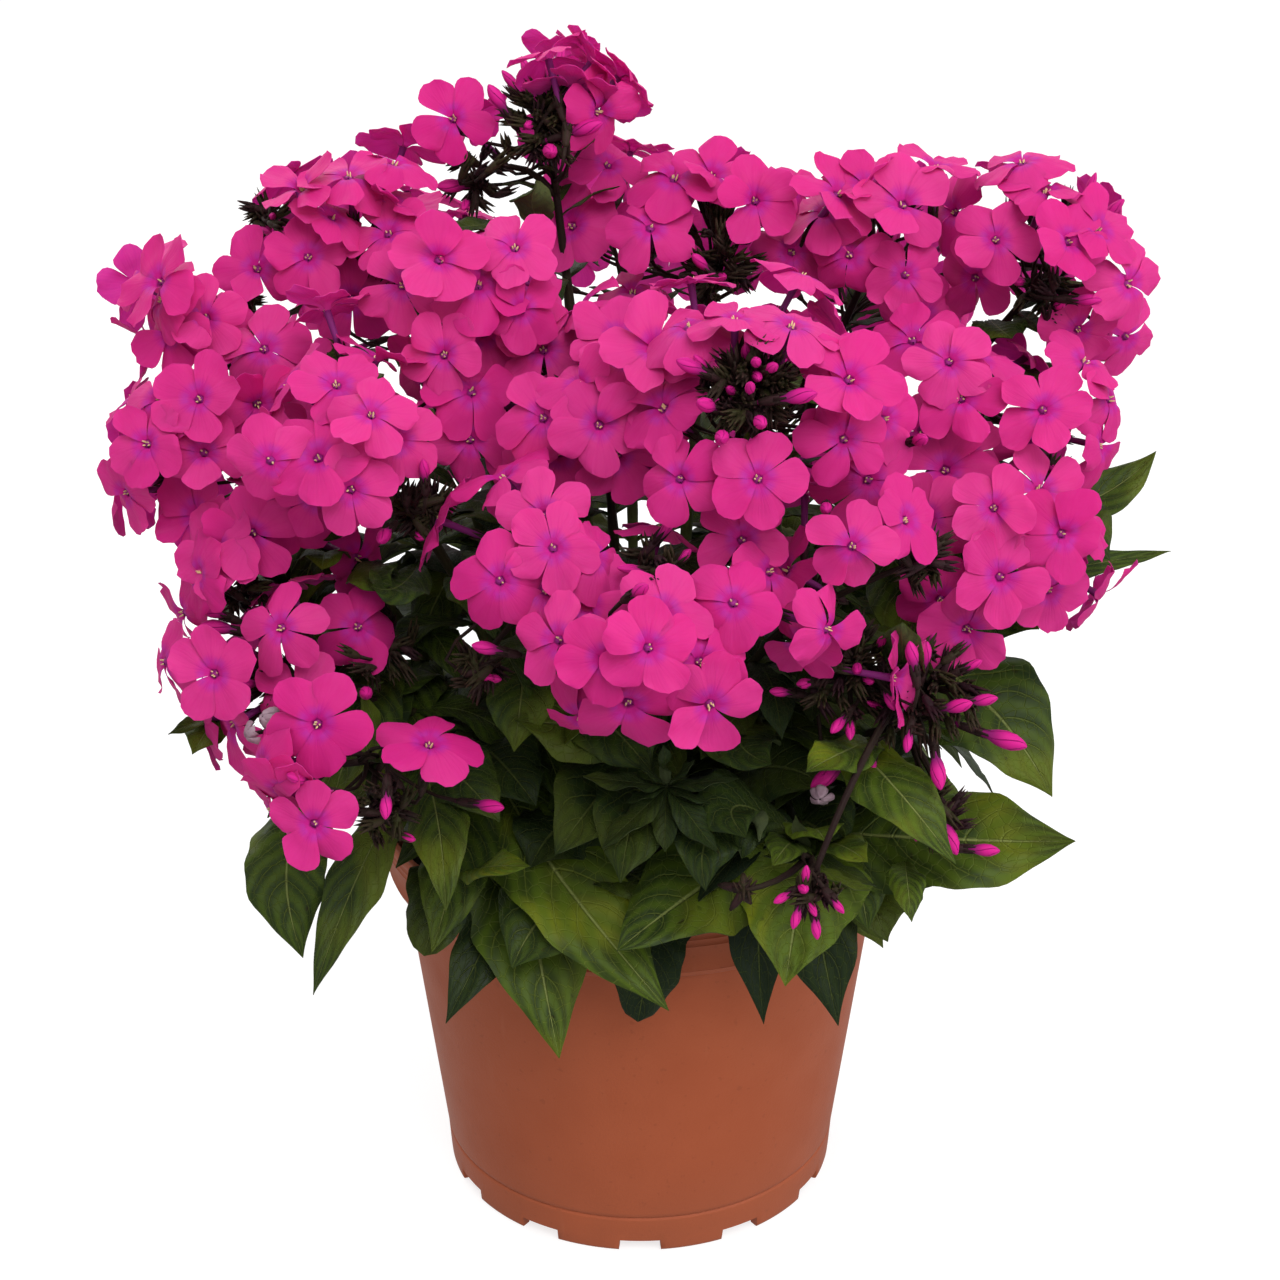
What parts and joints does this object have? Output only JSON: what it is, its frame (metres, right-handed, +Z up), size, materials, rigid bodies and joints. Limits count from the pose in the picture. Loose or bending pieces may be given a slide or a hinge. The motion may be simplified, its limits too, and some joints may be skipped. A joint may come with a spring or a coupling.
{
  "type": "potted phlox plant",
  "caption": "Bushy garden phlox in full flower: domed heads of five-petalled florets on leafy stems, growing in a round plastic pot of soil",
  "frame": {"origin": "where the pot's axis meets the surface it stands on", "axes": "+Z up along the pot's axis, +X to the right and -Y towards the front of the plant"},
  "size_m": [0.3571, 0.3368, 0.4206],
  "materials": {
    "pot_plastic": "satin",
    "potting_soil": "matte",
    "leaf_green": "satin",
    "petal_pink": "matte"
  },
  "bodies": {
    "root": {"pot": "pot_plastic", "soil": "potting_soil", "leafy_stem_top": "leaf_green", "leafy_stem_upper_left": "leaf_green", "leafy_stem_middle_left": "leaf_green", "leafy_stem_upper_middle": "leaf_green", "leafy_stem_back_right": "leaf_green", "leafy_stem_left_inner": "leaf_green", "leafy_stem_middle": "leaf_green", "leafy_stem_front": "leaf_green", "leafy_stem_upper_right": "leaf_green", "head_top": "petal_pink", "head_upper_left": "petal_pink", "head_far_left": "petal_pink", "head_left": "petal_pink", "head_left_inner": "petal_pink", "head_left_lower": "petal_pink", "head_low_left_outer": "petal_pink", "head_low_left": "petal_pink", "head_middle_left": "petal_pink", "head_middle": "petal_pink", "head_middle_low": "petal_pink", "head_upper_middle": "petal_pink", "head_upper_right": "petal_pink", "head_right_top": "petal_pink", "head_right": "petal_pink", "head_right_low": "petal_pink", "head_front_right": "petal_pink", "head_buds_right": "petal_pink", "head_buds_inner": "petal_pink", "head_buds_low": "petal_pink", "head_back": "petal_pink", "head_back_left": "petal_pink", "head_back_right": "petal_pink", "head_back_low_left": "petal_pink", "head_back_low_right": "petal_pink"}
  },
  "joints": []
}
